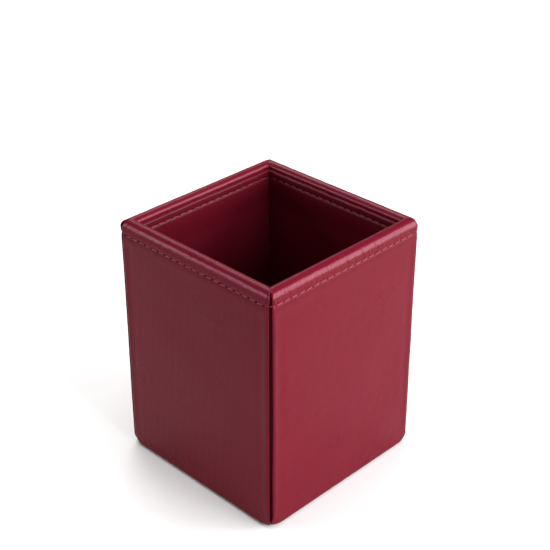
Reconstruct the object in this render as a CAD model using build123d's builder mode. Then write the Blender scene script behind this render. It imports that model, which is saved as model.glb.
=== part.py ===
"""Square desk cup for pens: four leather-wrapped wall boards on a felt-backed base.

The walls are made flat, side by side, with a dark leather strip hinging each to the next.
Every board is wrapped in leather that turns over the rim and under the base, a lining is laid
over the inner turn, and a row of lockstitch through all layers holds the rim. The walls then
fold up and meet on mitred corners, where the strips show inside the open seams, and a covered
card drops in as the floor.

Units are millimetres. The origin is the middle of the underside, +Z is up, the front wall
faces -Y and the right wall faces +X.
"""
import os
from math import ceil, sqrt

from build123d import *

# %% Driving sizes

side = 80.0                   # outside width and depth of the square cup
height = 103.0                # underside to the top of the rim
board = 3.0                   # thickness of the four wall boards
base_thickness = 2.5          # thickness of the base board
leather = 1.1                 # outer leather at full thickness
skived_leather = 0.6          # outer leather where its edges are pared to turn under
lining = 0.65                 # lining leather
felt_thickness = 0.6          # felt under the base
floor_card_thickness = 1.0    # stiff card inside the floor pad

corner_radius = 2.2           # outside vertical corners, in plan
rim_outer_radius = 2.0        # roll of the leather over the rim, outside
rim_inner_radius = 1.7        # roll of the leather over the rim, inside
board_edge_radius = 0.8       # eased top edges of the wall boards
bottom_edge_radius = 0.8      # leather bent under the bottom edges
corner_curve_height = 5.5     # height over which each bottom corner is drawn in
corner_curve_in = 2.7         # how far it is drawn in, along the diagonal
corner_curve_start = 0.15     # the curve begins this far outside the corner, to cut cleanly

turn_in_depth = 8.0           # leather turned down inside the rim
turn_under_width = 7.5        # leather turned under the base
lining_drop = 4.2             # rim top down to the lining's folded top edge
hem_width = 5.0               # doubled edge of the lining
hem_radius = 0.5              # rounding of the lining's folded edge
lining_step = 0.6             # height over which the lining eases back on to the board

seam_gap = 1.3                # opening of each corner seam
seam_edge_radius = 0.35       # rounding of the leather edges beside a seam
seam_top_drop = 2.5           # rim top down to where a corner seam opens
seam_bottom_gap = 0.5         # drawn-in corner up to where the seam closes
strip_thickness = 0.4         # strip behind each corner seam
strip_leg = 6.0               # reach of a strip along each wall
strip_tuck = 0.5              # strip hidden above and below the open seam

stitch_drop = 5.6             # rim top down to the row of stitches
stitch_target_pitch = 3.7     # wanted length of one stitch
stitch_end_inset = 3.4        # outside corner to the first needle hole
thread_radius = 0.3           # thread at the middle of a stitch
thread_end_radius = 0.2       # thread where it dives into a needle hole
thread_leg_radius = 0.25      # thread inside the board
needle_radius = 0.35          # needle hole
groove_radius = 1.0           # section of the dip that the thread pulls into the leather
lining_row_clearance = 0.8    # end of the inner row to the inside corner

fillet_share = 0.95           # most of a corner's radius that an edge rounding may take
felt_inset = 2.5              # felt's edge inside the cup's outline
felt_corner_radius = 3.0
floor_clearance = 0.2         # floor pad to the lining, all round

# %% Levels and widths that follow from them

half = side / 2
leather_bottom = felt_thickness
core_bottom = leather_bottom + skived_leather
core_top = height - leather
floor_level = core_bottom + base_thickness
floor_card_top = floor_level + floor_card_thickness
floor_top = floor_card_top + lining

core_half = half - leather                      # outside of the wall boards
core_radius = corner_radius - leather           # their corners
carcass_half = core_half - board                # inside of the wall boards
rim_half = carcass_half - leather               # inside of the rolled rim
turn_in_half = carcass_half - skived_leather    # inside of the pared turn-in
hem_half = turn_in_half - 2 * lining            # inside of the lining's doubled edge
lining_half = carcass_half - lining             # inside of the lining below it
floor_half = lining_half - floor_clearance

lining_top = height - lining_drop
turn_in_bottom = height - turn_in_depth
hem_bottom = lining_top - hem_width
corner_curve_top = leather_bottom + corner_curve_height
seam_top = height - seam_top_drop
seam_bottom = corner_curve_top + seam_bottom_gap
stitch_level = height - stitch_drop

stitch_count = round((side - 2 * stitch_end_inset) / stitch_target_pitch)
stitch_pitch = (side - 2 * stitch_end_inset) / stitch_count
row_half = half - stitch_end_inset
row_overhang = row_half - (hem_half - lining_row_clearance)
lining_stitch_count = stitch_count - 2 * ceil(row_overhang / stitch_pitch)
lock_depth = leather + board / 2                # where outer and inner thread interlock
groove_offset = groove_radius - thread_radius   # thread lies half sunk in the groove
wall_depth = half - hem_half                    # outer face to the lining's doubled edge

walls = {"front": 0, "right": 90, "back": 180, "left": 270}
corners = {"front_right": 0, "back_right": 90, "back_left": 180, "front_left": 270}

os.makedirs("parts", exist_ok=True)


def corner_reach(half_width, radius):
    """Distance from the axis to a rounded corner of a square, along the diagonal."""
    return (half_width - radius) * sqrt(2) + radius


def bottom_trim(reach, low, high):
    """Block whose four lower corners curve in, where the leather is drawn under the base."""
    start = reach + corner_curve_start
    end = reach - corner_curve_in
    with BuildPart() as trim:
        for turn, mode in ((45, Mode.ADD), (135, Mode.INTERSECT)):
            with BuildSketch(Plane.XZ.rotated((0, 0, turn))):
                with BuildLine():
                    Polyline((start, corner_curve_top), (start, high), (-start, high),
                             (-start, corner_curve_top))
                    TangentArc((start, corner_curve_top), (end, low), tangent=(0, -1))
                    Line((end, low), (-end, low))
                    TangentArc((-start, corner_curve_top), (-end, low), tangent=(0, -1))
                make_face()
            extrude(amount=side, both=True, mode=mode)
    return trim.part


def wall_quarter():
    """Wedge over the front wall, between the two diagonals on which the corners are mitred."""
    with BuildPart() as quarter:
        with BuildSketch():
            Polygon((0, 0), (-side, -side), (side, -side), align=None)
        extrude(amount=height)
    return quarter.part


def needle_row(count, start_depth, end_depth):
    """Row of needle holes through the front wall, between two depths from its outer face."""
    with BuildPart() as row:
        with BuildSketch(Plane.XZ.offset(half - start_depth)):
            with Locations((0, stitch_level)):
                with GridLocations(stitch_pitch, 1, count + 1, 1):
                    Circle(needle_radius)
        extrude(amount=start_depth - end_depth)
    return row.part


def thread_row(count, surface_depth):
    """Thread on one side of the front wall: a row of stitches, each diving to the lock."""
    with BuildPart() as stitch:
        with BuildSketch():
            with BuildLine():
                ThreePointArc((-stitch_pitch / 2, thread_end_radius), (0, thread_radius),
                              (stitch_pitch / 2, thread_end_radius))
                Polyline((-stitch_pitch / 2, thread_end_radius), (-stitch_pitch / 2, 0),
                         (stitch_pitch / 2, 0), (stitch_pitch / 2, thread_end_radius))
            make_face()
        revolve(axis=Axis.X)
    with BuildPart() as row:
        with Locations((0, surface_depth - half, stitch_level)):
            with GridLocations(stitch_pitch, 1, count, 1):
                add(stitch.part)
        with BuildSketch(Plane.XZ.offset(half - surface_depth)):
            with Locations((0, stitch_level)):
                with GridLocations(stitch_pitch, 1, count + 1, 1):
                    Circle(thread_leg_radius)
        extrude(amount=surface_depth - lock_depth)
    return row.part


# %% Shapes that several pieces are cut with

quarter = wall_quarter()
outer_trim = bottom_trim(corner_reach(half, corner_radius), leather_bottom, height)
core_trim = bottom_trim(corner_reach(core_half, core_radius), core_bottom, height)
outer_needle_row = needle_row(stitch_count, -leather, lock_depth)
inner_needle_row = needle_row(lining_stitch_count, lock_depth, wall_depth + lining)

# %% Wall boards

with BuildPart() as carcass:
    with BuildSketch(Plane.XY.offset(core_bottom)):
        RectangleRounded(2 * core_half, 2 * core_half, core_radius)
        Rectangle(2 * carcass_half, 2 * carcass_half, mode=Mode.SUBTRACT)
    extrude(amount=core_top - core_bottom)
    fillet(faces().sort_by(Axis.Z)[-1].edges(), min(board_edge_radius, fillet_share * core_radius))
    add(core_trim, mode=Mode.INTERSECT)

with BuildPart() as front_board:
    add(carcass.part)
    add(quarter, mode=Mode.INTERSECT)
    add(outer_needle_row, mode=Mode.SUBTRACT)
    add(inner_needle_row, mode=Mode.SUBTRACT)

for wall, turn in walls.items():
    with BuildPart() as wall_board:
        add(front_board.part, rotation=(0, 0, turn))
    wall_board.part.label = f"wall_board_{wall}"
    export_step(wall_board.part, f"parts/wall_board_{wall}.step")

# %% Base board, glued between the wall boards

with BuildPart() as base_board:
    with BuildSketch(Plane.XY.offset(core_bottom)):
        Rectangle(2 * carcass_half, 2 * carcass_half)
    extrude(amount=base_thickness)
base_board.part.label = "base_board"
export_step(base_board.part, "parts/base_board.step")

# %% Dark strips behind the four corner seams

with BuildPart() as front_right_strip:
    with BuildSketch(Plane.XY.offset(seam_bottom - strip_tuck)):
        strip_half = core_half + strip_thickness
        RectangleRounded(2 * strip_half, 2 * strip_half, core_radius + strip_thickness)
        RectangleRounded(2 * core_half, 2 * core_half, core_radius, mode=Mode.SUBTRACT)
        with Locations((half, -half)):
            Rectangle(2 * strip_leg, 2 * strip_leg, mode=Mode.INTERSECT)
    extrude(amount=seam_top - seam_bottom + 2 * strip_tuck)
    add(outer_needle_row, mode=Mode.SUBTRACT)
    add(outer_needle_row, rotation=(0, 0, walls["right"]), mode=Mode.SUBTRACT)

for corner, turn in corners.items():
    with BuildPart() as corner_strip:
        add(front_right_strip.part, rotation=(0, 0, turn))
    corner_strip.part.label = f"corner_strip_{corner}"
    export_step(corner_strip.part, f"parts/corner_strip_{corner}.step")

# %% Outer leather, over the rim, down inside and under the base

with BuildPart() as leather_sleeve:
    with BuildSketch(Plane.XY.offset(leather_bottom)):
        RectangleRounded(side, side, corner_radius)
    extrude(amount=height - leather_bottom)
    with BuildSketch(Plane.XY.offset(height)):
        Rectangle(2 * rim_half, 2 * rim_half)
    extrude(amount=-lining_drop, mode=Mode.SUBTRACT)
    rim_roll = min(rim_outer_radius, fillet_share * corner_radius)
    fillet(faces().sort_by(Axis.Z)[-1].outer_wire().edges(), rim_roll)
    fillet(faces().sort_by(Axis.Z)[-1].inner_wires()[0].edges(), rim_inner_radius)
    fillet(faces().sort_by(Axis.Z)[0].outer_wire().edges(), bottom_edge_radius)
    add(outer_trim, mode=Mode.INTERSECT)
    # the inside, from the lining's top edge down past the pared turn-in to the base board
    with BuildSketch(Plane.XY.offset(lining_top)):
        Rectangle(2 * turn_in_half, 2 * turn_in_half)
    extrude(amount=turn_in_bottom - lining_top, mode=Mode.SUBTRACT)
    with BuildSketch(Plane.XY.offset(turn_in_bottom)):
        Rectangle(2 * carcass_half, 2 * carcass_half)
    extrude(amount=core_bottom - turn_in_bottom, mode=Mode.SUBTRACT)
    # the window between the flaps that turn under
    with BuildSketch(Plane.XY.offset(leather_bottom)):
        Rectangle(side - 2 * turn_under_width, side - 2 * turn_under_width)
    extrude(amount=skived_leather, mode=Mode.SUBTRACT)
    add(carcass.part, mode=Mode.SUBTRACT)
    # the corner seams, and the room for the strips behind them
    with BuildSketch(Plane.XY.offset(seam_bottom)):
        with PolarLocations(corner_reach(half, corner_radius), 4, start_angle=45):
            Rectangle(2 * leather, seam_gap)
    extrude(amount=seam_top - seam_bottom, mode=Mode.SUBTRACT)
    seam_edges = edges(Select.LAST).filter_by(Axis.Z).group_by(SortBy.DISTANCE)[-1]
    fillet(seam_edges, seam_edge_radius)
    for turn in corners.values():
        add(front_right_strip.part, rotation=(0, 0, turn), mode=Mode.SUBTRACT)

with BuildPart() as front_panel:
    add(leather_sleeve.part)
    add(quarter, mode=Mode.INTERSECT)
    with BuildSketch(Plane.YZ):
        with Locations((-half - groove_offset, stitch_level)):
            Circle(groove_radius)
    extrude(amount=half, both=True, mode=Mode.SUBTRACT)
    add(outer_needle_row, mode=Mode.SUBTRACT)
    add(inner_needle_row, mode=Mode.SUBTRACT)

for wall, turn in walls.items():
    with BuildPart() as outer_panel:
        add(front_panel.part, rotation=(0, 0, turn))
    outer_panel.part.label = f"outer_panel_{wall}"
    export_step(outer_panel.part, f"parts/outer_panel_{wall}.step")

# %% Lining, with a doubled edge over the turned-in leather

with BuildPart() as front_lining:
    with BuildSketch(Plane.YZ) as lining_section:
        with BuildLine():
            Polyline(
                (-carcass_half, floor_level),
                (-carcass_half, turn_in_bottom - lining_step),
                (-turn_in_half, turn_in_bottom),
                (-turn_in_half, lining_top),
                (-hem_half, lining_top),
                (-hem_half, hem_bottom),
                (-lining_half, hem_bottom - lining_step),
                (-lining_half, floor_level),
                close=True,
            )
        make_face()
        fillet(vertices().group_by(Axis.Y)[-1].sort_by(Axis.X)[-1], hem_radius)
        with Locations((-hem_half + groove_offset, stitch_level)):
            Circle(groove_radius, mode=Mode.SUBTRACT)
    extrude(amount=half, both=True)
    add(quarter, mode=Mode.INTERSECT)
    add(inner_needle_row, mode=Mode.SUBTRACT)

for wall, turn in walls.items():
    with BuildPart() as lining_panel:
        add(front_lining.part, rotation=(0, 0, turn))
    lining_panel.part.label = f"lining_panel_{wall}"
    export_step(lining_panel.part, f"parts/lining_panel_{wall}.step")

# %% Rim stitching: the outer and the inner thread of each wall

outer_thread = thread_row(stitch_count, 0)
inner_thread = thread_row(lining_stitch_count, wall_depth)

for wall, turn in walls.items():
    for name, row in (("rim_thread_outer", outer_thread), ("rim_thread_inner", inner_thread)):
        with BuildPart() as rim_thread:
            add(row, rotation=(0, 0, turn))
        rim_thread.part.label = f"{name}_{wall}"
        export_step(rim_thread.part, f"parts/{name}_{wall}.step")

# %% Floor pad: a card covered in lining leather

with BuildPart() as floor_card:
    with BuildSketch(Plane.XY.offset(floor_level)):
        Rectangle(2 * (floor_half - lining), 2 * (floor_half - lining))
    extrude(amount=floor_card_thickness)
floor_card.part.label = "floor_card"
export_step(floor_card.part, "parts/floor_card.step")

with BuildPart() as floor_lining:
    with BuildSketch(Plane.XY.offset(floor_level)):
        Rectangle(2 * floor_half, 2 * floor_half)
    extrude(amount=floor_top - floor_level)
    fillet(faces().sort_by(Axis.Z)[-1].edges(), hem_radius)
    add(floor_card.part, mode=Mode.SUBTRACT)
floor_lining.part.label = "floor_lining"
export_step(floor_lining.part, "parts/floor_lining.step")

# %% Underside: a card that levels the turned-under leather, and the felt

with BuildPart() as base_infill_card:
    with BuildSketch(Plane.XY.offset(leather_bottom)):
        Rectangle(side - 2 * turn_under_width, side - 2 * turn_under_width)
    extrude(amount=skived_leather)
base_infill_card.part.label = "base_infill_card"
export_step(base_infill_card.part, "parts/base_infill_card.step")

with BuildPart() as base_felt:
    with BuildSketch():
        RectangleRounded(side - 2 * felt_inset, side - 2 * felt_inset, felt_corner_radius)
    extrude(amount=felt_thickness)
base_felt.part.label = "base_felt"
export_step(base_felt.part, "parts/base_felt.step")
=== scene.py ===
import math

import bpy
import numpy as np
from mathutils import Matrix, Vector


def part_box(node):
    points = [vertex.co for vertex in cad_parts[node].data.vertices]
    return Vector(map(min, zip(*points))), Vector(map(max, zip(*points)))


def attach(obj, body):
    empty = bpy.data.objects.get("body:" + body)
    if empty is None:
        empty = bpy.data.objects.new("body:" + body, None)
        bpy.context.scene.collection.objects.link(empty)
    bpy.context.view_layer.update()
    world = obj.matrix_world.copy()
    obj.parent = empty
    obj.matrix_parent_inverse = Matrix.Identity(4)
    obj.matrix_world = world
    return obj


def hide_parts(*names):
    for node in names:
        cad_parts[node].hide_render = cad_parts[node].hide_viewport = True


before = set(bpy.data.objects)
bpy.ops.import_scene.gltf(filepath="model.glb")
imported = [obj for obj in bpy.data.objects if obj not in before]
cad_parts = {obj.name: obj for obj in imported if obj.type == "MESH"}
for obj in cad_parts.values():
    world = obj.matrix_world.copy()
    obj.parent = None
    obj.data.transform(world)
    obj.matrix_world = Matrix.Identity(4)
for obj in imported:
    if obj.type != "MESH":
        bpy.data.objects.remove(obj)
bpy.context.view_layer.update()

# %% [markdown]
# # A leather pen cup, made in Blender
#
# The cup is four stiff boards wrapped in burgundy leather. The leather rolls over the rim,
# turns down inside, and a row of stitches holds it. The boards, cards and sizes come from a
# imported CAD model, which stays where it is. This file makes everything that the eye meets:
# leather with its stitched bead and open corner seams, twisted thread, lining, floor and felt.
#
# Lengths below are in millimetres, as a maker would give them, and become metres at the end.

MM = 0.001
WALLS = {"front": 0, "right": 90, "back": 180, "left": 270}
CORNERS = {"front_right": 0, "back_right": 90, "back_left": 180, "front_left": 270}

# %% [markdown]
# ## Sizes from the model
#
# Each size is read from the box of a CAD node, so the looks follow the model if it changes.
# The front wall faces -Y. On it, `out` is the distance from the cup's axis to a surface, and
# `along` runs from left to right.

# %% Read the sizes
def in_mm(box):
    """The low and high corner of a node's box, in mm."""
    return [corner / MM for corner in box]


panel_low, panel_high = in_mm(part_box("outer_panel_front"))
board_low, board_high = in_mm(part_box("wall_board_front"))
lining_low, lining_high = in_mm(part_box("lining_panel_front"))
thread_low, thread_high = in_mm(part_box("rim_thread_outer_front"))
inner_row_end = in_mm(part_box("rim_thread_inner_front"))[1].x
half = -panel_low.y
height = panel_high.z
leather_bottom = panel_low.z
board_out = -board_low.y
board_in = -board_high.y
leather = half - board_out
rim_in = board_in - leather
turn_under_in = -panel_high.y
hem_in = -lining_high.y
lining_top = lining_high.z
floor_level = lining_low.z
stitch_level = (thread_low.z + thread_high.z) / 2
print("half width", half, "height", height, "leather", leather, "stitches at", stitch_level)

# %% [markdown]
# ## Where the needle goes
#
# The stitches are about 3.7 mm long. The outer row reaches nearly to the corners. The inner
# row is two stitches shorter, because the inside of the cup is narrower. The holes are worked
# out once. The leather, the lining and both threads use them, so that a stitch meets its hole.

# %% Needle holes along a wall
LEG_RADIUS = 0.25
STITCH_LENGTH = 3.7
row_half = thread_high.x - LEG_RADIUS
stitch_count = round(2 * row_half / STITCH_LENGTH)
pitch = 2 * row_half / stitch_count
outer_holes = np.linspace(-row_half, row_half, stitch_count + 1)
inner_row_half = inner_row_end - LEG_RADIUS
inner_holes = outer_holes[np.abs(outer_holes) < inner_row_half + pitch / 4]
print(len(outer_holes), "outer holes", len(inner_holes), "inner holes, pitch", round(pitch, 3))

# %% [markdown]
# ## Camera
#
# The cup is seen corner on, from a little under 30 degrees above, through a long lens, so its
# upright edges draw together only slightly towards the floor.

# %% Camera
CAMERA_AZIMUTH = 44.85
CAMERA_ELEVATION = 29.35
CAMERA_DISTANCE = 6.2085 * 2 * half
CAMERA_ROLL = 0.18
AIM_HEIGHT = 1.02 * 2 * half
SENSOR_WIDTH, LENS = 36, 85.07
VIEW_SHIFT = (0.0100, -0.0125)

azimuth, elevation = math.radians(CAMERA_AZIMUTH), math.radians(CAMERA_ELEVATION)
away = Vector((math.sin(azimuth) * math.cos(elevation),
               -math.cos(azimuth) * math.cos(elevation),
               math.sin(elevation)))
camera_data = bpy.data.cameras.new("camera")
camera_data.sensor_width = SENSOR_WIDTH
camera_data.lens = LENS
camera_data.shift_x, camera_data.shift_y = VIEW_SHIFT
camera = bpy.data.objects.new("camera", camera_data)
bpy.context.scene.collection.objects.link(camera)
look = away.to_track_quat("Z", "Y").to_matrix().to_4x4()
roll = Matrix.Rotation(math.radians(-CAMERA_ROLL), 4, "Z")
aim = Vector((0, 0, AIM_HEIGHT))
camera.matrix_world = Matrix.Translation((aim + away * CAMERA_DISTANCE) * MM) @ look @ roll
bpy.context.scene.camera = camera
print("camera at", [round(x, 3) for x in camera.matrix_world.translation])

# %% [markdown]
# ## Floor and light
#
# A pale floor and a white surround fill the leather with soft light. The key on the right makes
# that wall the bright one. Two more soft boxes stand where the rim throws their light back at
# the camera, which draws a highlight along each near edge. One hangs over the cup, and one
# lifts the shadow on the floor at the left. The colours are shown as they are, without a film
# look.

# %% Surround and floor
SURROUND = 0.3          # strength of the white all round
FLOOR_REACH = 3.0       # metres from the cup to the floor's edge
PAPER = (0.83, 0.82, 0.82, 1)

scene = bpy.context.scene
scene.view_settings.view_transform = "Standard"
world = bpy.data.worlds.new("pale_room")
scene.world = world
world.use_nodes = True
background = world.node_tree.nodes["Background"]
background.inputs["Color"].default_value = (1, 1, 1, 1)
background.inputs["Strength"].default_value = SURROUND

floor_mesh = bpy.data.meshes.new("floor")
floor_mesh.from_pydata([(-FLOOR_REACH, -FLOOR_REACH, 0), (FLOOR_REACH, -FLOOR_REACH, 0),
                        (FLOOR_REACH, FLOOR_REACH, 0), (-FLOOR_REACH, FLOOR_REACH, 0)],
                       [], [(0, 1, 2, 3)])
floor = bpy.data.objects.new("floor", floor_mesh)
scene.collection.objects.link(floor)
paper = bpy.data.materials.new("floor_paper")
paper.use_nodes = True
paper_shader = paper.node_tree.nodes["Principled BSDF"]
paper_shader.inputs["Base Color"].default_value = PAPER
paper_shader.inputs["Roughness"].default_value = 0.9
floor_mesh.materials.append(paper)
print("floor", 2 * FLOOR_REACH, "m square")

# %% Lights
MIDDLE = (0, 0, height * MM / 2)
LIT_FLOOR = (-0.12, -0.05, 0.0)
SOFT_BOXES = (          # name, place, aimed at, size in metres, watts
    ("key_right", (0.86, 0.06, 0.40), MIDDLE, 0.5, 8),
    ("edge_right", (0.66, 0.56, 0.31), MIDDLE, 0.5, 9),
    ("edge_left", (-0.61, -0.73, 0.36), MIDDLE, 0.3, 2.6),
    ("top_fill", (-0.1, 0.0, 1.2), MIDDLE, 0.9, 8.5),
    ("floor_left", (-0.55, 0.35, 0.75), LIT_FLOOR, 0.5, 3.9),
)
for name, place, aimed_at, size, watts in SOFT_BOXES:
    light = bpy.data.lights.new(name, "AREA")
    light.shape = "SQUARE"
    light.size = size
    light.energy = watts
    lamp = bpy.data.objects.new(name, light)
    scene.collection.objects.link(lamp)
    lamp.location = place
    lamp.rotation_euler = (Vector(place) - Vector(aimed_at)).to_track_quat("Z", "Y").to_euler()
print(len(SOFT_BOXES), "soft boxes")

# %% [markdown]
# ## Small helpers
#
# A wall is made as a grid: rows follow the leather's section, from under the base, up the
# outside, over the rim and down inside; columns run along the wall. A second grid behind it
# gives the leather its thickness, and a band of faces closes the edge between the two. A box
# with bevels would be quicker, but in a grid a formula can move every point.

# %% Smooth steps, humps and seeded ripples
def smooth(x, low, high):
    """Goes from 0 to 1 between low and high, with no corner at either end."""
    t = np.clip((x - low) / (high - low), 0, 1)
    return t * t * (3 - 2 * t)


def hump(x, middle, width):
    """A bell of height 1, width from its middle to where it has dropped to about a third."""
    return np.exp(-((x - middle) / width) ** 2)


def near_points(along, above, points, width):
    """1 at each point of a row, dropping off round it like a bell."""
    nearest = np.abs(along[..., None] - points).min(-1)
    return np.exp(-(nearest ** 2 + above ** 2) / width ** 2)


def ripple(x, y, size, seed, waves=9):
    """Soft unevenness of about the given size, between about -1 and 1."""
    dice = np.random.default_rng(seed)
    total = 0
    for _ in range(waves):
        turn, phase = dice.uniform(0, 2 * math.pi, 2)
        rate = 2 * math.pi / size * dice.uniform(0.6, 1.5)
        total = total + np.sin(rate * (x * math.cos(turn) + y * math.sin(turn)) + phase)
    return total / math.sqrt(waves * 2)


# %% Sheets with two sides
def closed_sheet(name, front, back, numbers=None):
    """One mesh from two grids of points in mm. numbers holds a value for each front point."""
    rows, columns = front.shape[:2]
    index = np.arange(rows * columns).reshape(rows, columns)
    far = index + rows * columns
    faces = [(index[:-1, :-1], index[:-1, 1:], index[1:, 1:], index[1:, :-1]),
             (far[:-1, :-1], far[1:, :-1], far[1:, 1:], far[:-1, 1:]),
             (index[0, 1:], index[0, :-1], far[0, :-1], far[0, 1:]),
             (index[-1, :-1], index[-1, 1:], far[-1, 1:], far[-1, :-1]),
             (index[:-1, 0], index[1:, 0], far[1:, 0], far[:-1, 0]),
             (index[1:, -1], index[:-1, -1], far[:-1, -1], far[1:, -1])]
    points = np.concatenate([front.reshape(-1, 3), back.reshape(-1, 3)])
    quads = np.concatenate([np.stack(corners, -1).reshape(-1, 4) for corners in faces])
    return finished_mesh(name, points, quads.tolist(), numbers)


def finished_mesh(name, points, faces, numbers=None):
    """A smooth-shaded object from points in mm, linked to the scene."""
    mesh = bpy.data.meshes.new(name)
    mesh.from_pydata((points * MM).tolist(), [], faces)
    mesh.update()
    mesh.polygons.foreach_set("use_smooth", [True] * len(mesh.polygons))
    if numbers is not None:
        for label, values in numbers.items():
            column = mesh.attributes.new(label, "FLOAT", "POINT")
            filled = np.zeros(len(points), np.float32)
            filled[:values.size] = values.reshape(-1)
            column.data.foreach_set("value", filled)
    piece = bpy.data.objects.new(name, mesh)
    scene.collection.objects.link(piece)
    return piece


def turned(points, degrees):
    """Points given as (along, out, up) on the front wall, turned on to another wall."""
    along, out, up = points[..., 0], points[..., 1], points[..., 2]
    c, s = math.cos(math.radians(degrees)), math.sin(math.radians(degrees))
    return np.stack([along * c + out * s, along * s - out * c, up], -1)


# %% [markdown]
# ## Section of the outer leather
#
# One strip of leather starts under the base, bends round the bottom edge, covers the wall,
# rolls over the rim and ends inside, where it is pared thin under the lining. The section is
# a list of rows. Each row has a place (out, up), the direction that the surface faces, and a
# thickness. A curve could be extruded instead, but rows can lie close together at the stitches
# and on the bends, and far apart elsewhere.

# %% Section rows
class Section:
    """Rows of a sheet's section: place, facing direction and thickness."""

    def __init__(self):
        self.rows = []

    def straight(self, start, end, count, facing, thickness):
        for t in np.linspace(0, 1, count, endpoint=False):
            out = start[0] + (end[0] - start[0]) * t
            up = start[1] + (end[1] - start[1]) * t
            self.rows.append((out, up, *facing, thickness))

    def bend(self, centre, radius, start, end, count, thickness):
        for angle in np.radians(np.linspace(start, end, count, endpoint=False)):
            facing = (math.cos(angle), math.sin(angle))
            place = (centre[0] + radius * facing[0], centre[1] + radius * facing[1])
            self.rows.append((*place, *facing, thickness))

    def table(self):
        """Arrays out, up, facing out, facing up, thickness and distance along the section."""
        rows = np.array(self.rows)
        steps = np.hypot(np.diff(rows[:, 0]), np.diff(rows[:, 1]))
        distance = np.concatenate([[0], np.cumsum(steps)])
        return (*rows.T, distance)


BOTTOM_BEND = 1.1
RIM_BEND_OUT = 2.9
RIM_BEND_IN = 2.2
PARED = 0.6             # the leather is pared to this where it hides under other layers
TURN_IN_DEPTH = 8.0
FINE_ABOVE, FINE_BELOW = 2.5, 3.6    # closely spaced rows on each side of the stitches
FOOT = 9                # rows lie closer above this height
OUTWARD, INWARD, UPWARD, DOWNWARD = (1, 0), (-1, 0), (0, 1), (0, -1)

section = Section()
section.straight((turn_under_in, leather_bottom), (half - BOTTOM_BEND, leather_bottom),
                 6, DOWNWARD, PARED)
section.bend((half - BOTTOM_BEND, leather_bottom + BOTTOM_BEND), BOTTOM_BEND, -90, 0, 8, PARED)
section.straight((half, leather_bottom + BOTTOM_BEND), (half, FOOT), 12, OUTWARD, leather)
section.straight((half, FOOT), (half, stitch_level - FINE_BELOW), 42, OUTWARD, leather)
section.straight((half, stitch_level - FINE_BELOW), (half, stitch_level + FINE_ABOVE),
                 34, OUTWARD, leather)
section.straight((half, stitch_level + FINE_ABOVE), (half, height - RIM_BEND_OUT),
                 1, OUTWARD, leather)
section.bend((half - RIM_BEND_OUT, height - RIM_BEND_OUT), RIM_BEND_OUT, 0, 90, 16, leather)
section.straight((half - RIM_BEND_OUT, height), (rim_in + RIM_BEND_IN, height),
                 1, UPWARD, leather)
section.bend((rim_in + RIM_BEND_IN, height - RIM_BEND_IN), RIM_BEND_IN, 90, 180, 10, leather)
section.straight((rim_in, height - RIM_BEND_IN), (rim_in, lining_top), 5, INWARD, leather)
section.straight((rim_in, lining_top), (board_in - PARED, lining_top - 1), 2, INWARD, leather)
section.straight((board_in - PARED, lining_top - 1), (board_in - PARED, height - TURN_IN_DEPTH),
                 4, INWARD, PARED)
leather_rows = section.table()
print("leather section has", len(leather_rows[0]), "rows and is",
      round(leather_rows[-1][-1], 1), "mm long")

# %% [markdown]
# ## Corners
#
# Two walls meet on the diagonal of the cup. Each sheet bends round towards the corner, then
# curls in with a small radius, so that an open seam is left between two rounded edges. On top
# of the rim the same curl is tiny, and reads as a mitre crease. Under the walls the leather is
# drawn in, so the corner's radius grows towards the floor. A bevel could round the corner, but
# it could not leave the seam open, so each row's columns are worked out.

# %% Columns that turn into a corner
BEND_STEPS, CURL_STEPS, SEAM_STEPS = 5, 7, 3
BESIDE_A_HOLE = np.array([0, 0.16, 0.32, 0.5, 0.75, 1.1, 1.5])


def wall_columns(holes, edge):
    """Places of the columns on the flat of a wall: close at the needle holes."""
    near = np.concatenate([holes[:, None] + BESIDE_A_HOLE, holes[:, None] - BESIDE_A_HOLE], None)
    ends_and_middle = np.linspace(-edge, edge, 3)
    places = np.concatenate([near, ends_and_middle, (holes[1:] + holes[:-1]) / 2])
    places = np.unique(np.round(places[np.abs(places) <= edge], 3))
    keep = np.concatenate([[True], np.diff(places) > 0.08])
    return places[keep] / edge


def corner_columns(out, radius, gap, curl, depth):
    """Columns from the end of a wall's flat, round the bend, over the curl, down the seam.

    Gives how far along the flat reaches. Then, for each column: its place along and outward,
    how far its facing turns, and how deep it lies behind the surface.
    """
    curl_start = gap + curl
    bend_end = radius * math.cos(math.pi / 4)
    flat_end = np.maximum(bend_end, curl_start + 0.1)
    t = np.linspace(0, 1, BEND_STEPS + 1)[None, 1:]
    bend = flat_end + (curl_start - flat_end) * t
    a = np.radians(np.linspace(0, 90, CURL_STEPS + 1))[None, 1:]
    curled = gap + curl * (1 - np.sin(a))
    sunk = curl * (1 - np.cos(a))
    t = np.linspace(0, 1, SEAM_STEPS + 1)[None, 1:]
    deep = curl + (np.maximum(depth, curl) - curl) * t
    aside = np.concatenate([bend, curled, gap + 0 * t], 1)
    drop = np.concatenate([0 * bend, sunk, deep], 1)
    turn = np.where(aside < bend_end, np.arccos(np.clip(aside / radius, -1, 1)) - math.pi / 4, 0)
    along = np.where(turn > 0, out - radius + radius * np.sin(turn), out - math.sqrt(2) * aside)
    outward = np.where(turn > 0, out - radius + radius * np.cos(turn), out)
    return out - math.sqrt(2) * flat_end, along, outward, turn, drop


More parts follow.
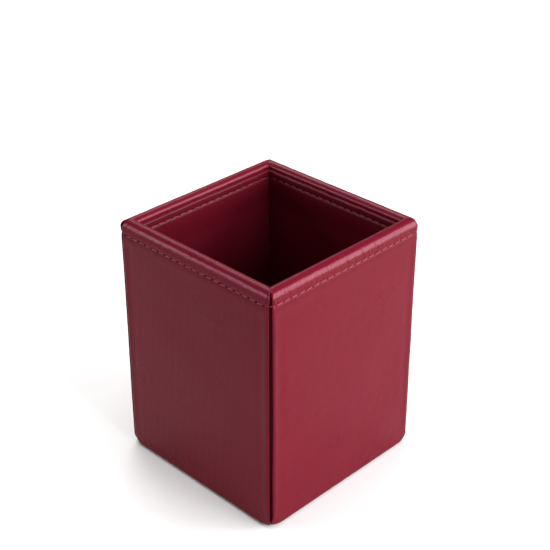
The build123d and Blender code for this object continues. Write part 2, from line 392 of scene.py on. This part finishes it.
def cornered_sheet(rows, columns, radii, half_gaps, curl, depth):
    """Grids of points, facings and depths for a sheet between two mitred corners.

    radii and half_gaps hold a left and a right value. Each value may be one number or a row
    of numbers, one for each row of the section.
    """
    out, up, face_out, face_up = (values[:, None] for values in rows[:4])

    def per_row(value):
        return np.broadcast_to(value, out.shape[:1])[:, None]

    (left_limit, *left), (right_limit, *right) = [
        corner_columns(out, per_row(radius), per_row(gap), per_row(curl), per_row(depth))
        for radius, gap in zip(radii, half_gaps)]
    flat = np.where(columns < 0, columns * left_limit, columns * right_limit)
    zero = np.zeros_like(flat)
    along = np.concatenate([-left[0][:, ::-1], flat, right[0]], 1)
    outward = np.concatenate([left[1][:, ::-1], zero + out, right[1]], 1)
    turn = np.concatenate([-left[2][:, ::-1], zero, right[2]], 1)
    drop = np.concatenate([left[3][:, ::-1], zero, right[3]], 1)
    points = np.stack([along, outward, up + 0 * along], -1)
    facing = np.stack([face_out * np.sin(turn), face_out * np.cos(turn), face_up + 0 * along], -1)
    return points, facing, drop


def sheet_back(points, facing, thickness):
    """Grid behind a sheet, at its thickness."""
    return points - facing * np.broadcast_to(thickness, points.shape[:2])[..., None]


# %% [markdown]
# ## The outer leather panels
#
# The thread pulls the leather in, so the rim above it swells into a bead, each needle hole is
# a dimple, and short creases run up from the holes. The rest of the wall is glued flat, and
# only waves a little. All this could be sculpted by hand. Formulas with seeded chance do it
# here, so that every run gives the same cup. Every wall has its own seed, so no two are alike.

# %% How far the corner seams open
SEAM_HALF = 0.64                     # half the opening of a seam, along most of it
SEAM_HALF_FOOT, SEAM_HALF_RIM = 0.22, 0.02
FOOT_SHUT, FOOT_OPEN = 3.2, 5.4      # heights between which a seam opens
FOOT_RADIUS, RIM_RADIUS = 8.4, 0.6   # of a corner in plan, at the floor and inside the rim


def seam_half_gap(rows, widen, seed):
    """Half the opening of a seam for each row, widest at mid height and shut on the rim."""
    up, face_out = rows[1:3]
    opening = (SEAM_HALF + widen * hump(up / height, 0.55, 0.3)
               + 0.04 * ripple(up, 0 * up, 30, seed))
    opening = SEAM_HALF_FOOT + (opening - SEAM_HALF_FOOT) * smooth(up, FOOT_SHUT, FOOT_OPEN)
    on_wall = smooth(face_out, 0.55, 0.85)
    return SEAM_HALF_RIM + (opening - SEAM_HALF_RIM) * on_wall


def drawn_in(up):
    """How far the foot of a corner is drawn in: 0 on the wall, nearly 1 under the base."""
    below = np.clip((6.1 - up) / 5.5, 0, 1)
    return 1 - np.sqrt(1 - 0.98 * below ** 2)


def corner_radius_rows(rows, radius):
    """Radius of the corner in plan for each row: soft outside, tight inside, wide below."""
    out, up = rows[:2]
    wall = radius + (FOOT_RADIUS - radius) * drawn_in(up)
    inside = smooth(out, rim_in, half)
    at_rim = (radius - RIM_RADIUS) * inside - 0.5 * smooth(up, stitch_level, stitch_level + 3)
    return np.where(up > height / 2, RIM_RADIUS + np.maximum(at_rim, 0), wall)


# %% What the thread does to the leather
CREASES_AT_A_HOLE = 4


def creases(along, above, holes, seed, strength):
    """Short creases that run up the bead from the needle holes."""
    dice = np.random.default_rng(seed)
    total = np.zeros_like(along)
    for hole in holes:
        for _ in range(CREASES_AT_A_HOLE):
            start = hole + dice.normal(0, 0.45 * pitch)
            lean = dice.normal(0, 0.12)
            length = dice.uniform(2.5, 7.5)
            width = dice.uniform(0.16, 0.36)
            fade = smooth(above, 0.1, 0.7) * (1 - smooth(above, 0.6 * length, length))
            total -= dice.uniform(0.3, 1) * hump(along, start + lean * above, width) * fade
    return strength * total


def stitched_relief(along, above, holes, seed, creasing):
    """Outward movement of the leather near a row of stitches, in mm."""
    row_end = np.abs(holes).max()
    reach = smooth(np.abs(along), row_end + 2.4, row_end + 0.6)
    pull = 0.40 * hump(above, 0, 0.62) + 0.10 * hump(above, 0, 2.2)
    bead = (0.34 * smooth(above, 0.15, 1.0) - 0.52 * smooth(above, 0.8, 4.2)
            + 0.18 * smooth(above, 4.0, 8.0)) * (0.3 + 0.7 * reach)
    swell = 0.08 * hump(above, -2.6, 1.3)
    dimple = 0.5 * near_points(along, above, holes, 0.36)
    ends = 0.45 + 0.55 * reach
    folds = creases(along, above, holes, seed, creasing)
    return bead + swell - ends * pull - reach * dimple + folds


# %% Where the stitches lie on the section
leather_columns = wall_columns(outer_holes, half - 2.2)
distance = leather_rows[-1]
outside = np.flatnonzero((leather_rows[2] > 0.99) & (np.abs(leather_rows[1] - stitch_level) < 4))
stitch_distance = np.interp(stitch_level, leather_rows[1][outside], distance[outside])
above_rows = (distance - stitch_distance)[:, None]
outside_share = smooth(leather_rows[2] + 0.6 * (leather_rows[3] > 0), -0.6, 0.2)[:, None]
print("stitches", round(float(stitch_distance), 1), "mm along the section,",
      len(leather_columns), "columns on the flat")


# %% Make the four panels
SEAM_SHIFT = {"front_left": 0.35}     # this seam was folded a little round on to the front wall
CREASING = {"front": 0.045, "right": 0.11, "back": 0.06, "left": 0.07}   # no two walls alike
LEFT_WIDEN, RIGHT_WIDEN = 0.22, 0.08  # each wall's left edge was cut a little more hollow
CORNER_RADII = (2.6, 1.4)             # left and right end of each wall
STRIP_RECESS = 0.38                   # the leather is thinner where a corner strip lies under it


def leather_relief(wall, along, up, above, from_end, seed):
    """Outward movement of a whole panel: stitching, glued waves, full edges and grain."""
    relief = stitched_relief(along, above, outer_holes, seed, CREASING[wall])
    relief *= outside_share * smooth(up, 1, 6)
    flat = smooth(up, 4, 12) * (1 - smooth(up, stitch_level - 6, stitch_level - 2))
    relief += flat * 0.07 * ripple(along, up, 34, seed + 2)
    relief += flat * (0.10 * hump(from_end, 2.6, 1.0) - 0.05 * hump(from_end, 5.4, 1.6))
    relief += 0.03 * ripple(along, distance[:, None] + 0 * along, 5, seed + 3) * outside_share
    return relief


def leather_panel(wall, degrees, seed):
    shift = {corner: SEAM_SHIFT.get(name, 0) for name, corner in CORNERS.items()}
    left_gap = seam_half_gap(leather_rows, LEFT_WIDEN, seed) + shift[(degrees - 90) % 360]
    right_gap = seam_half_gap(leather_rows, RIGHT_WIDEN, seed + 1) - shift[degrees]
    radii = [corner_radius_rows(leather_rows, radius) for radius in CORNER_RADII]
    on_wall = smooth(leather_rows[2], 0.35, 0.75)
    curl = 0.12 + 0.43 * on_wall * smooth(leather_rows[1], 2, 6)
    depth = np.minimum(0.68, leather_rows[4] - 0.12)
    points, facing, drop = cornered_sheet(leather_rows, leather_columns, radii,
                                          (left_gap, right_gap), curl, depth)
    along, up = points[..., 0], points[..., 2]
    above = above_rows + 0 * along
    from_end = np.abs(points[..., 1]) - np.abs(along)
    relief = leather_relief(wall, along, up, above, from_end, seed)
    front = points + facing * (relief - drop)[..., None]
    under_strip = smooth(from_end, 6.5, 5.5) * on_wall[:, None]
    back = sheet_back(points, facing, leather_rows[4][:, None] - STRIP_RECESS * under_strip)
    # painted shade: darker in the needle dimples, along the stitch row and down into the seam
    # curls
    shade = np.clip(0.9 * near_points(along, above, outer_holes, 0.55)
                    + 0.35 * hump(above, 0, 0.7) + 0.9 * smooth(drop, 0.1, 0.5), 0, 1)
    polish = (smooth(above, 2.4, 3.8) * (1 - smooth(above, 5.4, 6.8))
              + 0.8 * smooth(above, 7.3, 8.6))
    return closed_sheet("leather_" + wall, turned(front, degrees), turned(back, degrees),
                        {"shade": shade, "polish": polish})


leather_panels = {}
for number, (wall, degrees) in enumerate(WALLS.items()):
    leather_panels[wall] = leather_panel(wall, degrees, 10 + 7 * number)
    print("leather_" + wall, len(leather_panels[wall].data.polygons), "faces")

# %% [markdown]
# ## The lining
#
# The lining is a thinner leather glued to the inside of each board. Its top edge is folded
# back, so it stands a little proud of the rolled rim as a soft lip, caught by the inner row
# of stitches. Below the lip it lies nearly flat down to the floor pad. It is made as the outer
# leather is, from rows and columns, and its back keeps just clear of the board.

# %% Lining section and panels
LINING = 0.65
LIP_RADIUS = 0.62
LIP_RISE = 1.5                       # the folded edge swells up towards the rim
LINING_BACK, LIP_BACK = 0.05, 0.68   # gap behind the lining, on the board and behind the lip
lip_top = lining_top + LIP_RISE
lining_in = board_in - LINING

section = Section()
section.straight((lining_in, floor_level), (lining_in, lip_top - 16), 30, INWARD, LINING)
section.straight((lining_in, lip_top - 16), (lining_in, stitch_level - 2), 22, INWARD, LINING)
section.straight((lining_in, stitch_level - 2), (lining_in, lip_top - LIP_RADIUS),
                 20, INWARD, LINING)
section.bend((lining_in + LIP_RADIUS, lip_top - LIP_RADIUS), LIP_RADIUS, 180, 0, 12, LINING)
lining_rows = section.table()
hem_swell = (lining_in - hem_in) * smooth(lining_rows[1], lip_top - 16, stitch_level - 1)
lining_rows = (lining_rows[0] - hem_swell, *lining_rows[1:])
lining_columns = wall_columns(inner_holes, hem_in - 0.8)


def lining_relief(along, up, above, seed):
    """Inward movement of the lining: stitches, soft waves and small creases."""
    inside = smooth(-lining_rows[2], -0.2, 0.6)[:, None]
    row_end = np.abs(inner_holes).max()
    reach = smooth(np.abs(along), row_end + 1.6, row_end + 0.4)
    relief = -0.30 * hump(above, 0, 0.55) * inside * (0.4 + 0.6 * reach)
    relief -= 0.35 * near_points(along, above, inner_holes, 0.34) * inside * reach
    relief += 0.06 * ripple(along, up, 22, seed) * smooth(up, floor_level + 2, floor_level + 12)
    relief += creases(along, -above, inner_holes, seed + 1, 0.05) * inside
    return relief


def lining_panel(wall, degrees, seed):
    points, facing, drop = cornered_sheet(lining_rows, lining_columns, radii=(0.5, 0.5),
                                          half_gaps=(0.04, 0.04), curl=0.2, depth=0.3)
    along, up = points[..., 0], points[..., 2]
    above = up - stitch_level
    relief = lining_relief(along, up, above, seed)
    front = points + facing * (relief - drop)[..., None]
    lip = smooth(up, stitch_level, lip_top)
    front[..., 2] += lip * (0.10 * ripple(along, 0 * along, 9, seed + 2)
                            + 0.05 * ripple(along, 0 * along, 2.6, seed + 3))
    back_out = board_in - np.where(lining_rows[1] < lip_top - 12, LINING_BACK, LIP_BACK)
    share = along / np.abs(along).max(1, keepdims=True)
    back = np.stack([share * (back_out[:, None] - 0.2), back_out[:, None] + 0 * along,
                     np.minimum(up, lip_top - LIP_RADIUS)], -1)
    # painted shade: darker in the needle dimples, along the stitch row and down into the corner
    # curls
    shade = np.clip(0.8 * near_points(along, above, inner_holes, 0.5)
                    + 0.3 * hump(above, 0, 0.6) + smooth(drop, 0.05, 0.2), 0, 1)
    return closed_sheet("lining_" + wall, turned(front[:, ::-1], degrees),
                        turned(back[:, ::-1], degrees), {"shade": shade[:, ::-1]})


lining_panels = {}
for number, (wall, degrees) in enumerate(WALLS.items()):
    lining_panels[wall] = lining_panel(wall, degrees, 50 + 5 * number)
print("lining section has", len(lining_rows[0]), "rows")

# %% [markdown]
# ## Thread
#
# A sewing thread is three yarns laid together. A stitch is a short length of it that rises
# from one hole and dives into the next, and slants a little, because the needle's path leans.
# A round tube would look like wire. So each stitch is a tube with three turning lobes, and the
# lay of the yarns shows.

# %% Tubes of twisted thread
LAY = 1.5               # length of one full turn of the yarns
LOBE = 0.13             # how far each yarn stands out, as a share of the radius
AROUND = 12


def twisted_tube(line, radius, start_turn):
    """Points (steps, around, 3) of a three-yarn thread that follows a line of points."""
    ahead = np.gradient(line, axis=0)
    ahead /= np.linalg.norm(ahead, axis=1, keepdims=True)
    side = np.cross(ahead, (0.0, 0.0, 1.0))
    side /= np.linalg.norm(side, axis=1, keepdims=True)
    top = np.cross(side, ahead)
    steps = np.linalg.norm(np.diff(line, axis=0), axis=1)
    travelled = np.concatenate([[0], np.cumsum(steps)])[:, None]
    angle = np.linspace(0, 2 * math.pi, AROUND, endpoint=False)[None]
    lobes = 1 + LOBE * np.cos(3 * (angle - 2 * math.pi * travelled / LAY) + start_turn)
    r = radius[:, None] * lobes
    return (line[:, None] + (r * np.cos(angle))[..., None] * side[:, None]
            + (r * np.sin(angle))[..., None] * top[:, None])


def tube_faces(steps, first):
    """Four-sided faces of a tube whose points are numbered from first."""
    ring = np.arange(AROUND)
    after = (ring + 1) % AROUND
    rows = first + np.arange(steps)[:, None] * AROUND
    sides = np.stack([rows[:-1] + ring, rows[:-1] + after, rows[1:] + after, rows[1:] + ring], -1)
    return sides.reshape(-1, 4)


def thread_object(name, lines, radii, degrees):
    """One object from many short threads, each a line of points on the front wall."""
    points, quads, caps, first = [], [], [], 0
    for number, (line, radius) in enumerate(zip(lines, radii)):
        line = turned(np.array(line, float), degrees)
        tube = twisted_tube(line, np.array(radius, float), 1.7 * number)
        steps = len(line)
        points.append(tube.reshape(-1, 3))
        quads.append(tube_faces(steps, first))
        caps.append((first + np.arange(AROUND))[::-1])
        caps.append(first + (steps - 1) * AROUND + np.arange(AROUND))
        first += steps * AROUND
    faces = np.concatenate(quads).tolist() + [cap.tolist() for cap in caps]
    return finished_mesh(name, np.concatenate(points), faces)


# %% The two threads of each wall
THREAD_RADIUS = 0.21
INNER_THREAD_RADIUS = 0.8 * THREAD_RADIUS
CORNER_SHARE = 0.55     # thickness of the stitch over a seam, of a wall stitch's
STITCH_STEPS = 22
SLANT = 0.17
RISE, DIVE = 0.19, 0.75      # how far a stitch stands up in its middle and sinks at its ends
outer_surface, inner_surface = half - 0.50, hem_in + 0.44    # where the leather is pulled in


def stitch_lines(holes, surface, facing, thickness, seed):
    """One line for each stitch between two holes, with its thickness along the way."""
    dice = np.random.default_rng(seed)
    lines, radii = [], []
    t = np.linspace(0, 1, STITCH_STEPS)
    for left, right in zip(holes[:-1], holes[1:]):
        sink = np.abs(2 * t - 1) ** 5
        lift = dice.uniform(-0.04, 0.05)
        out = surface + facing * (lift + RISE * (1 - sink) - DIVE * sink)
        slant = SLANT * dice.uniform(0.7, 1.2)
        up = stitch_level + slant * (2 * t - 1) * (1 - sink) + dice.normal(0, 0.03)
        lines.append(np.stack([left + (right - left) * t, out, up], -1))
        radii.append(thickness * (1 - 0.25 * sink) * dice.uniform(0.94, 1.04))
    return lines, radii


def corner_stitch(hole, up):
    """A stitch over the open seam at a wall's right end, from its last hole to the next wall."""
    t = np.linspace(0, 1, STITCH_STEPS)
    bow = half - 0.25 - hole
    sink = DIVE * np.abs(2 * t - 1) ** 6
    along = hole + bow * np.sin(t * math.pi / 2) - sink * (t > 0.5)
    out = hole + bow * np.cos(t * math.pi / 2) - sink * (t <= 0.5)
    return np.stack([along, out, up + 0.12 * np.sin(math.pi * t)], -1)


outer_threads, inner_threads = {}, {}
for number, (wall, degrees) in enumerate(WALLS.items()):
    lines, radii = stitch_lines(outer_holes, outer_surface, 1, THREAD_RADIUS, 80 + number)
    lines.append(corner_stitch(row_half, stitch_level - 0.1))
    radii.append(CORNER_SHARE * radii[0])
    outer_threads[wall] = thread_object("thread_outer_" + wall, lines, radii, degrees)
    lines, radii = stitch_lines(inner_holes, inner_surface, -1, INNER_THREAD_RADIUS, 90 + number)
    inner_threads[wall] = thread_object("thread_inner_" + wall, lines, radii, degrees)
print("threads have", len(outer_threads["front"].data.polygons), "faces on each wall")

# %% [markdown]
# ## Strips behind the seams
#
# A narrow strip of nearly black leather runs down each corner, under the edges of both walls.
# It shows as the dark line in the open seam. A painted line would do from afar, but a real
# strip lies deeper than the walls' edges and catches its own light.

# %% Corner strips
STRIP = 0.35
STRIP_LEG = 5.5
STRIP_FOOT = 2.2
STRIP_RADIUS, STRIP_FOOT_RADIUS = 1.5, 7.7    # in plan, up the wall and at the foot
OVER_THE_BOARD = 1.15                         # radius of the bend at the strip's top end
TOP_BEND = np.radians([30, 55, 75, 90])


def corner_strip(corner, degrees):
    bend_start = height - leather - 0.8
    wall = np.concatenate([np.linspace(STRIP_FOOT, 7, 14), np.linspace(9, bend_start, 40)])
    up = np.concatenate([wall, bend_start + OVER_THE_BOARD * np.sin(TOP_BEND)])
    over = np.concatenate([0 * wall, OVER_THE_BOARD * (1 - np.cos(TOP_BEND))])
    radius = STRIP_RADIUS + (STRIP_FOOT_RADIUS - STRIP_RADIUS) * drawn_in(up)
    angle = np.radians(np.linspace(0, 90, 13))[None]
    out = (board_out + STRIP - over)[:, None]
    leg_end = half - STRIP_LEG
    grids = []
    for depth in (0, STRIP - 0.03):
        r = (radius - depth)[:, None]
        edge = out - depth
        bend_x = edge - r + r * np.sin(angle)
        bend_y = edge - r + r * np.cos(angle)
        leg = np.linspace(1, 0, 4, endpoint=False)[None]
        flat = leg_end + (edge - r - leg_end) * (1 - leg)
        x = np.concatenate([flat, bend_x, edge + 0 * flat[:, ::-1]], 1)
        y = np.concatenate([edge + 0 * flat, bend_y, flat[:, ::-1]], 1)
        grids.append(np.stack([x, y, up[:, None] + 0 * x], -1))
    return closed_sheet("strip_" + corner, turned(grids[0], degrees), turned(grids[1], degrees))


corner_strips = {corner: corner_strip(corner, degrees) for corner, degrees in CORNERS.items()}
print("strips stand", round(STRIP, 2), "mm proud of the boards")

# %% [markdown]
# ## Floor pad and felt
#
# The floor is a stiff card covered with lining leather and pressed in, so its edges are round
# and its middle is a touch higher. The felt under the base has a soft, slightly uneven edge.
# A bevelled box would come close. Rings of points can be crowned and made uneven as well.

# %% Rounded pads
PAD_AROUND = 144        # points round the edge


def square_outline():
    """x and y of points round a square of half side 1."""
    angle = np.linspace(0, 2 * math.pi, PAD_AROUND, endpoint=False) + math.pi / 4
    quarter = np.round(angle / (math.pi / 2)) * (math.pi / 2)
    lean = np.tan(np.clip(angle - quarter, -math.pi / 4, math.pi / 4))
    return np.cos(quarter) - lean * np.sin(quarter), np.sin(quarter) + lean * np.cos(quarter)


def rounded_outline(size, radius):
    """x and y of points round a square of half side size, with its corners rounded."""
    x, y = (size * values for values in square_outline())
    radius = min(radius, size * 0.9)
    centre_x = np.clip(x, radius - size, size - radius)
    centre_y = np.clip(y, radius - size, size - radius)
    dx, dy = x - centre_x, y - centre_y
    length = np.maximum(np.hypot(dx, dy), 1e-9)
    corner = (np.abs(dx) > 1e-9) & (np.abs(dy) > 1e-9)
    return (np.where(corner, centre_x + dx / length * radius, x),
            np.where(corner, centre_y + dy / length * radius, y))


def pad_profile(half_side, bottom, top, edge):
    """Inset and height of each ring: up the rounded edge, then in over the top."""
    quarter = np.radians([0, 30, 60, 90])
    rings = [(edge * (1 - math.sin(a)), bottom + edge * (1 - math.cos(a))) for a in quarter]
    rings += [(edge * (1 - math.cos(a)), top - edge * (1 - math.sin(a))) for a in quarter]
    return rings + [(half_side * share, top) for share in (0.06, 0.2, 0.4, 0.6, 0.8)]


def pad(name, half_side, bottom, top, radius, edge, crown, uneven, seed):
    """A flat square pad with rounded corners and edges, as a closed mesh."""
    rings = []
    for inset, up in pad_profile(half_side, bottom, top, edge):
        x, y = rounded_outline(half_side - inset, radius)
        shake = uneven * ripple(x, y, 1.6, seed) * (1 if inset < edge + 0.01 else 0)
        x = x * (1 + shake / half_side)
        y = y * (1 + shake / half_side)
        rise = crown * (1 - (np.maximum(np.abs(x), np.abs(y)) / half_side) ** 2)
        lift = np.where(up > (bottom + top) / 2, rise, 0)
        rings.append(np.stack([x, y, up + lift], -1))
    index = np.arange(len(rings) * PAD_AROUND).reshape(len(rings), PAD_AROUND)
    after = np.roll(index, -1, 1)
    quads = np.stack([index[:-1], after[:-1], after[1:], index[1:]], -1).reshape(-1, 4)
    faces = quads.tolist() + [index[0][::-1].tolist(), index[-1].tolist()]
    return finished_mesh(name, np.concatenate(rings), faces)


pad_low, pad_high = in_mm(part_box("floor_lining"))
felt_low, felt_high = in_mm(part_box("base_felt"))
floor_pad = pad("floor_pad", pad_high.x, pad_low.z, pad_high.z,
                radius=1.0, edge=0.6, crown=0.12, uneven=0.02, seed=120)
felt_pad = pad("felt_pad", felt_high.x, felt_low.z, felt_high.z,
               radius=3.0, edge=0.2, crown=0.0, uneven=0.12, seed=121)
print("floor pad", round(2 * pad_high.x, 1), "mm, felt", round(2 * felt_high.x, 1), "mm square")

# %% [markdown]
# ## Materials
#
# No picture is painted on: each finish is worked out from noise in the material's nodes, and the
# leathers also take painted shade from a value that the mesh carries. A surface is a colour that
# varies a little, a roughness that varies with it, and a fine bump.
# A noise scale of 1000 gives spots about a millimetre across. Pictures of leather could be
# used instead, but noise has no edges and never repeats.

# %% Node helpers
class Finish:
    """A node material, with short names for the nodes that these finishes use."""

    def __init__(self, name):
        self.material = bpy.data.materials.new(name)
        self.material.use_nodes = True
        self.tree = self.material.node_tree
        self.shader = self.tree.nodes["Principled BSDF"]
        self.place = self.add("ShaderNodeTexCoord").outputs["Object"]

    def add(self, kind, **settings):
        """A new node with some of its settings changed."""
        node = self.tree.nodes.new(kind)
        for key, value in settings.items():
            setattr(node, key, value)
        return node

    def link(self, source, socket):
        self.tree.links.new(source, socket)

    def noise(self, scale, detail, roughness, stretch=None):
        """Cloudy values, spread evenly or stretched by three shares."""
        node = self.add("ShaderNodeTexNoise")
        node.inputs["Scale"].default_value = scale
        node.inputs["Detail"].default_value = detail
        node.inputs["Roughness"].default_value = roughness
        self.link(self.stretched(stretch), node.inputs["Vector"])
        return node.outputs["Fac"]

    def cells(self, scale):
        """Distance from the middle of the nearest cell, with soft borders."""
        node = self.add("ShaderNodeTexVoronoi", feature="SMOOTH_F1")
        node.inputs["Scale"].default_value = scale
        self.link(self.place, node.inputs["Vector"])
        return node.outputs["Distance"]

    def stretched(self, stretch):
        if stretch is None:
            return self.place
        node = self.add("ShaderNodeMapping")
        node.inputs["Scale"].default_value = stretch
        self.link(self.place, node.inputs["Vector"])
        return node.outputs["Vector"]

    def number(self, label):
        """A value that the mesh carries at each of its points."""
        return self.add("ShaderNodeAttribute", attribute_name=label).outputs["Fac"]

    def maths(self, operation, first, second):
        node = self.add("ShaderNodeMath", operation=operation)
        for socket, value in zip(node.inputs, (first, second)):
            if isinstance(value, (int, float)):
                socket.default_value = value
            else:
                self.link(value, socket)
        return node.outputs["Value"]

    def mixed(self, first, first_share, second, second_share):
        """The sum of two values, each by its own share."""
        return self.maths("ADD", self.maths("MULTIPLY", first, first_share),
                          self.maths("MULTIPLY", second, second_share))

    def span(self, value, low, high, new_low, new_high):
        """The value, with the range low to high spread over a new range."""
        node = self.add("ShaderNodeMapRange")
        self.link(value, node.inputs["Value"])
        for label, number in (("From Min", low), ("From Max", high),
                              ("To Min", new_low), ("To Max", new_high)):
            node.inputs[label].default_value = number
        return node.outputs["Result"]

    def blend(self, factor, first, second):
        """A colour between two, by a factor from 0 to 1."""
        node = self.add("ShaderNodeMix", data_type="RGBA")
        self.link(factor, node.inputs["Factor"])
        for socket, value in ((node.inputs[6], first), (node.inputs[7], second)):
            if isinstance(value, tuple):
                socket.default_value = (*value, 1)
            else:
                self.link(value, socket)
        return node.outputs[2]

    def bump(self, height_value, strength, distance):
        """Small hills and hollows, for heights up to distance in metres."""
        node = self.add("ShaderNodeBump")
        node.inputs["Strength"].default_value = strength
        node.inputs["Distance"].default_value = distance
        self.link(height_value, node.inputs["Height"])
        return node.outputs["Normal"]

    def use(self, label, value):
        """Sets one of the shader's inputs to a number or to a node's output."""
        if isinstance(value, (int, float)):
            self.shader.inputs[label].default_value = value
        else:
            self.link(value, self.shader.inputs[label])


# %% [markdown]
# ### Burgundy leather
#
# Smooth, finished calf. The hair cells leave pores well under a millimetre apart, so the grain
# is a fine cell pattern broken up by noise. Painted shade darkens the leather in the needle
# dimples, along the stitch row and down into the seams, and it is rougher there too. Its face
# is satin. Where it is drawn tight over the rim it shines more, with a rosy shine, as dyed
# leather has.

# %% Outer leather
SHINE, SHINE_TINT = 0.30, (1.0, 0.37, 0.53)    # on the rim, where the leather is tight
PAINTED_SHADE_DEPTH, WORN_ROUGH = 0.8, 0.15              # painted shade, and more roughness, in the dimples, the stitch row and the seams


def leather_finish(name, deep, bright, rough, grain, gloss):
    finish = Finish(name)
    tone = finish.noise(45, 2, 0.5)
    mottle = finish.noise(420, 3, 0.6)
    mixed = finish.mixed(tone, 0.7, mottle, 0.3)
    colour = finish.blend(finish.span(mixed, 0.1, 0.9, 0, 1), deep, bright)
    # painted shade: the colour darkens towards a quarter of the deep tone where the mesh's shade
    # value is high
    dark = tuple(0.25 * part for part in deep)
    painted_shade = finish.span(finish.number("shade"), 0, 1, 0, PAINTED_SHADE_DEPTH)
    finish.use("Base Color", finish.blend(painted_shade, colour, dark))
    broad = finish.noise(60, 2, 0.5)
    roughness = finish.span(broad, 0.1, 0.9, rough - 0.04, rough + 0.04)
    rubbed = finish.span(finish.number("shade"), 0, 1, 0, WORN_ROUGH)
    finish.use("Roughness", finish.maths("ADD", roughness, rubbed))
    finish.use("Specular IOR Level", finish.span(finish.number("polish"), 0, 1, gloss, SHINE))
    finish.use("Specular Tint", finish.blend(finish.number("polish"), (1.0, 1.0, 1.0),
                                             SHINE_TINT))
    pores = finish.cells(1500)
    folds = finish.noise(900, 4, 0.6)
    finish.use("Normal", finish.bump(finish.mixed(pores, 0.6, folds, 0.6), grain, 0.00012))
    return finish.material


burgundy = leather_finish(
    "burgundy_leather", deep=(0.100, 0.0020, 0.0095), bright=(0.122, 0.0028, 0.0120),
    rough=0.29, grain=0.22, gloss=0.08)
lining_leather = leather_finish(
    "lining_leather", deep=(0.075, 0.0018, 0.0070), bright=(0.100, 0.0026, 0.0095),
    rough=0.42, grain=0.5, gloss=0.2)
strip_leather = leather_finish(
    "strip_leather", deep=(0.018, 0.0006, 0.0020), bright=(0.026, 0.0009, 0.0028),
    rough=0.8, grain=0.5, gloss=0.04)
print("leathers:", burgundy.name, lining_leather.name, strip_leather.name)

# %% [markdown]
# ### Thread, board, card and felt
#
# The thread is dyed a shade brighter than the leather, and has a soft, fibrous face. Board is
# pressed from paper fibre with darker flecks. Felt is matted wool, all fibre and no gloss.

# %% The other finishes
def thread_finish():
    finish = Finish("burgundy_thread")
    fibres = finish.noise(3000, 2, 0.5)
    finish.use("Base Color", finish.blend(finish.span(fibres, 0.3, 0.7, 0, 1),
                                          (0.27, 0.007, 0.026), (0.40, 0.016, 0.048)))
    finish.use("Roughness", finish.span(fibres, 0.3, 0.7, 0.45, 0.58))
    finish.use("Specular IOR Level", 0.3)
    finish.use("Sheen Weight", 0.08)
    finish.use("Sheen Roughness", 0.4)
    finish.use("Normal", finish.bump(fibres, 0.4, 0.00008))
    return finish.material


def board_finish(name, pale, dark):
    finish = Finish(name)
    fibres = finish.noise(600, 5, 0.65)
    flecks = finish.noise(1600, 2, 0.5, (1, 1, 0.35))
    colour = finish.blend(finish.span(fibres, 0.35, 0.65, 0, 1), dark, pale)
    finish.use("Base Color", finish.blend(finish.span(flecks, 0.62, 0.72, 0, 0.5),
                                          colour, tuple(0.4 * part for part in dark)))
    finish.use("Roughness", finish.span(fibres, 0.3, 0.7, 0.82, 0.95))
    finish.use("Normal", finish.bump(fibres, 0.5, 0.0001))
    return finish.material


def felt_finish():
    finish = Finish("black_felt")
    wool = finish.noise(1800, 5, 0.7)
    clumps = finish.noise(260, 3, 0.6)
    finish.use("Base Color", finish.blend(finish.span(clumps, 0.3, 0.7, 0, 1),
                                          (0.010, 0.008, 0.009), (0.030, 0.024, 0.026)))
    finish.use("Roughness", finish.span(wool, 0.3, 0.7, 0.88, 1.0))
    finish.use("Sheen Weight", 0.4)
    finish.use("Sheen Roughness", 0.5)
    finish.use("Normal", finish.bump(wool, 0.9, 0.0003))
    return finish.material


thread = thread_finish()
grey_board = board_finish("grey_board", pale=(0.40, 0.37, 0.33), dark=(0.27, 0.25, 0.22))
grey_card = board_finish("grey_card", pale=(0.50, 0.47, 0.42), dark=(0.36, 0.34, 0.30))
felt = felt_finish()
print("finishes:", ", ".join(m.name for m in bpy.data.materials))

# %% [markdown]
# ## Putting the pieces together
#
# Every new piece rides on the cup's one body, and the CAD nodes that it stands for are hidden.
# The boards and cards keep their CAD shapes, and only get their finish, because they hardly show.

# %% Dress the pieces
def cover(piece, material):
    piece.data.materials.clear()
    piece.data.materials.append(material)


def dress(piece, material, slot, *nodes):
    """Gives a piece its finish and its place on the cup, and hides the CAD nodes that it
    replaces.
    """
    cover(piece, material)
    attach(piece, "root")
    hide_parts(*nodes)


for wall in WALLS:
    dress(leather_panels[wall], burgundy, "outer_leather", "outer_panel_" + wall)
    dress(lining_panels[wall], lining_leather, "lining_leather", "lining_panel_" + wall)
    dress(outer_threads[wall], thread, "thread", "rim_thread_outer_" + wall)
    dress(inner_threads[wall], thread, "thread", "rim_thread_inner_" + wall)
for corner, strip in corner_strips.items():
    dress(strip, strip_leather, "seam_strip", "corner_strip_" + corner)
dress(floor_pad, lining_leather, "lining_leather", "floor_lining")
dress(felt_pad, felt, "felt", "base_felt")
for name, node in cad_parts.items():
    if name.startswith("wall_board") or name == "base_board":
        cover(node, grey_board)
    if name.endswith("_card"):
        cover(node, grey_card)
print(len(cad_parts), "CAD nodes dressed or replaced")
